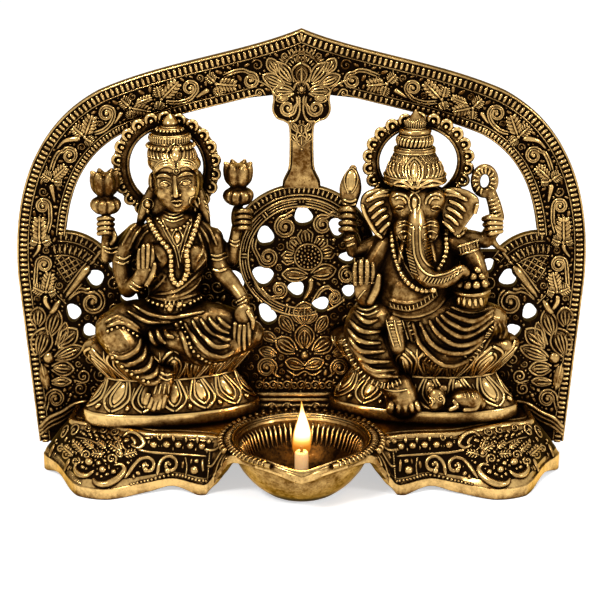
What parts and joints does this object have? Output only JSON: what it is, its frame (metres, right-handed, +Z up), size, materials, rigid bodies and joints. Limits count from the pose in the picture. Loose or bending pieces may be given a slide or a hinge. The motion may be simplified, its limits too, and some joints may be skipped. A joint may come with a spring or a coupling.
{
  "type": "oil lamp",
  "caption": "Oil lamp with Lakshmi and Ganesha seated on lotus plinths before a pierced arched panel, on a shaped base with a spouted bowl and a lit wick stub.",
  "frame": {"origin": "on the surface that the lamp stands on, under the middle of its bounding box", "axes": "+X to the right seen from the front, +Y from the spout towards the back panel, +Z up"},
  "size_m": [0.2804, 0.0854, 0.2183],
  "materials": {
    "cast_gold": "antique gold with dark patina in the recesses, polished on the edges",
    "screw_metal": "plain zinc-plated screw",
    "wax": "cream ghee wax, slightly translucent",
    "wick": "twisted cotton, charred at the top"
  },
  "bodies": {
    "lamp": {"back_panel": "cast_gold", "base_tray": "cast_gold", "lakshmi_figure": "cast_gold", "ganesha_figure": "cast_gold", "panel_screw_1": "screw_metal", "panel_screw_2": "screw_metal", "panel_screw_3": "screw_metal", "panel_screw_4": "screw_metal", "lakshmi_screw_1": "screw_metal", "lakshmi_screw_2": "screw_metal", "ganesha_screw_1": "screw_metal", "ganesha_screw_2": "screw_metal"},
    "wick_stub": {"wax_stub": "wax", "cotton_wick": "wick"}
  },
  "joints": [
    {"name": "stub_lift", "type": "slide", "parent": "lamp", "child": "wick_stub", "axis": [0, 0, 1], "range_m": [0, 0.06]}
  ]
}
